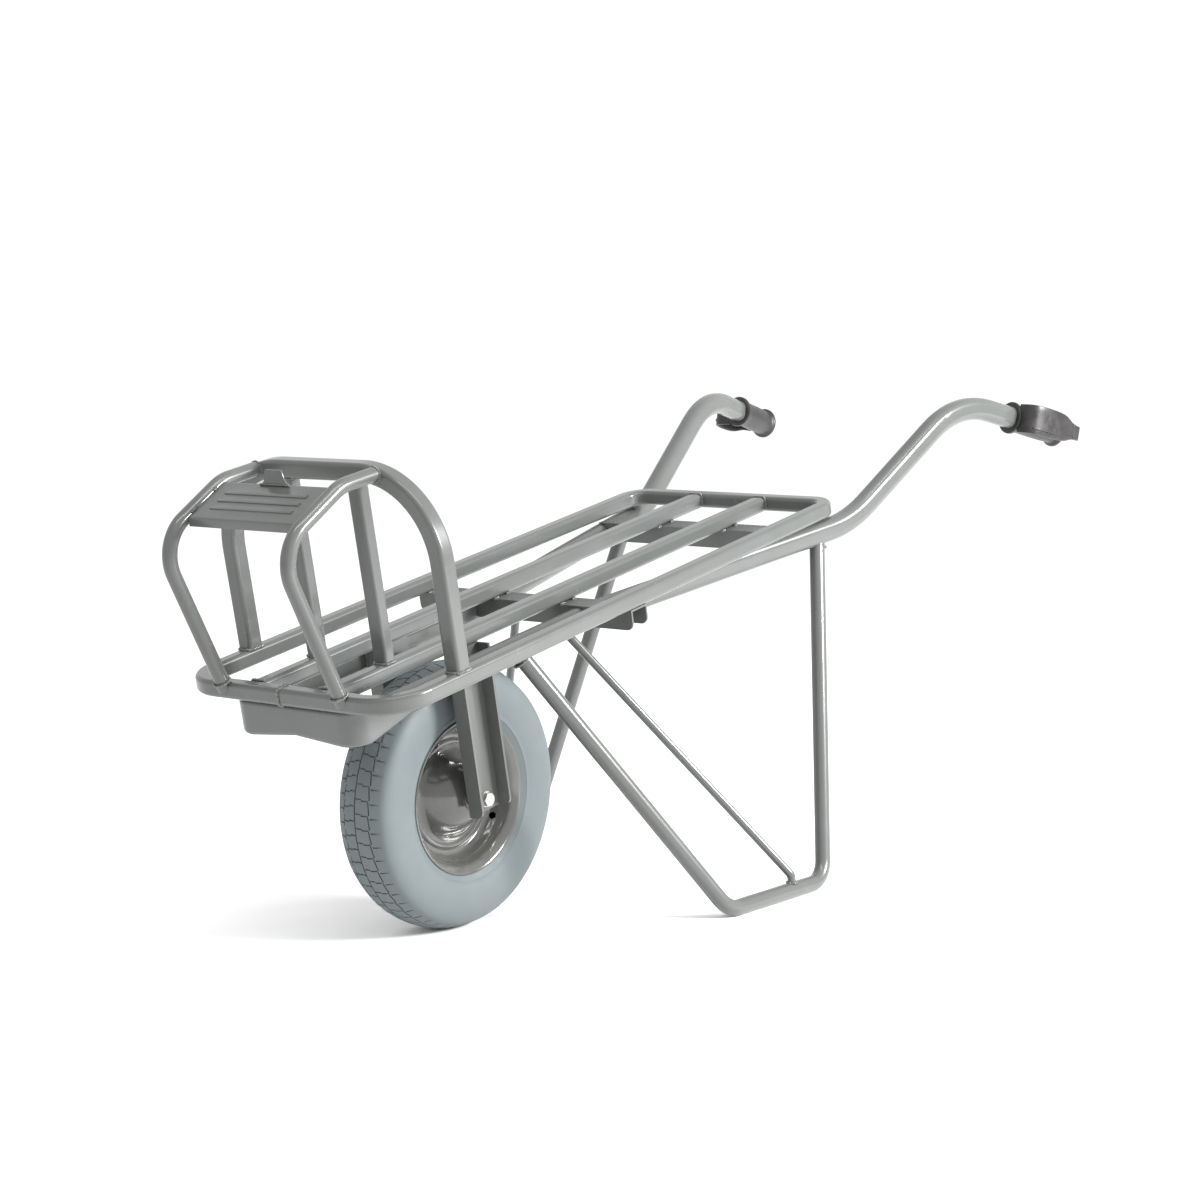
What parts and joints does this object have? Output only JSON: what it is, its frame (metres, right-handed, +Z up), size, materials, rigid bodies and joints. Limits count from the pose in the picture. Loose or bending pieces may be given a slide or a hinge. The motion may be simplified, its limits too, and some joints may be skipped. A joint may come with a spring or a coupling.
{
  "type": "wheelbarrow",
  "caption": "Flat slatted barrow for bricks and paving stones: tube frame, front rack, bent stand legs, knuckle-guard grips and one air-filled wheel that turns",
  "frame": {"origin": "on the ground, under the middle of the bounding box", "axes": "+X forward, towards the wheel and rack; +Y to the barrow's left; +Z up"},
  "size_m": [1.7312, 0.719, 0.7622],
  "materials": {
    "grey_paint": "gloss mid-grey paint over welded steel",
    "zinc": "bright zinc plating",
    "bearing_steel": "ground steel",
    "tyre_rubber": "matte pale blue-grey rubber",
    "grip_plastic": "black moulded plastic, satin"
  },
  "bodies": {
    "frame": {"main_frame_tube": "grey_paint", "bed_frame": "grey_paint", "slat_left": "grey_paint", "slat_right": "grey_paint", "mid_cross_member": "grey_paint", "rear_cross_member": "grey_paint", "rack_hoop": "grey_paint", "rack_bar_left": "grey_paint", "rack_bar_right": "grey_paint", "rack_brace_left": "grey_paint", "rack_brace_right": "grey_paint", "rack_plate": "grey_paint", "leg_left": "grey_paint", "leg_right": "grey_paint", "leg_stay_left": "grey_paint", "leg_stay_right": "grey_paint", "fork_leg_left": "grey_paint", "fork_leg_right": "grey_paint", "axle_spacer_left": "zinc", "axle_spacer_right": "zinc", "axle_bolt": "zinc", "axle_nut": "zinc", "axle_washers": "zinc", "grip_left": "grip_plastic", "grip_right": "grip_plastic"},
    "wheel": {"tyre": "tyre_rubber", "rim_half_left": "grey_paint", "rim_half_right": "grey_paint", "hub_tube": "grey_paint", "bearing_left": "bearing_steel", "bearing_right": "bearing_steel"}
  },
  "joints": [
    {"name": "wheel_spin", "type": "hinge", "parent": "frame", "child": "wheel", "pos_m": [0.42152, 0, 0.2], "axis": [0, 1, 0], "continuous": true}
  ]
}
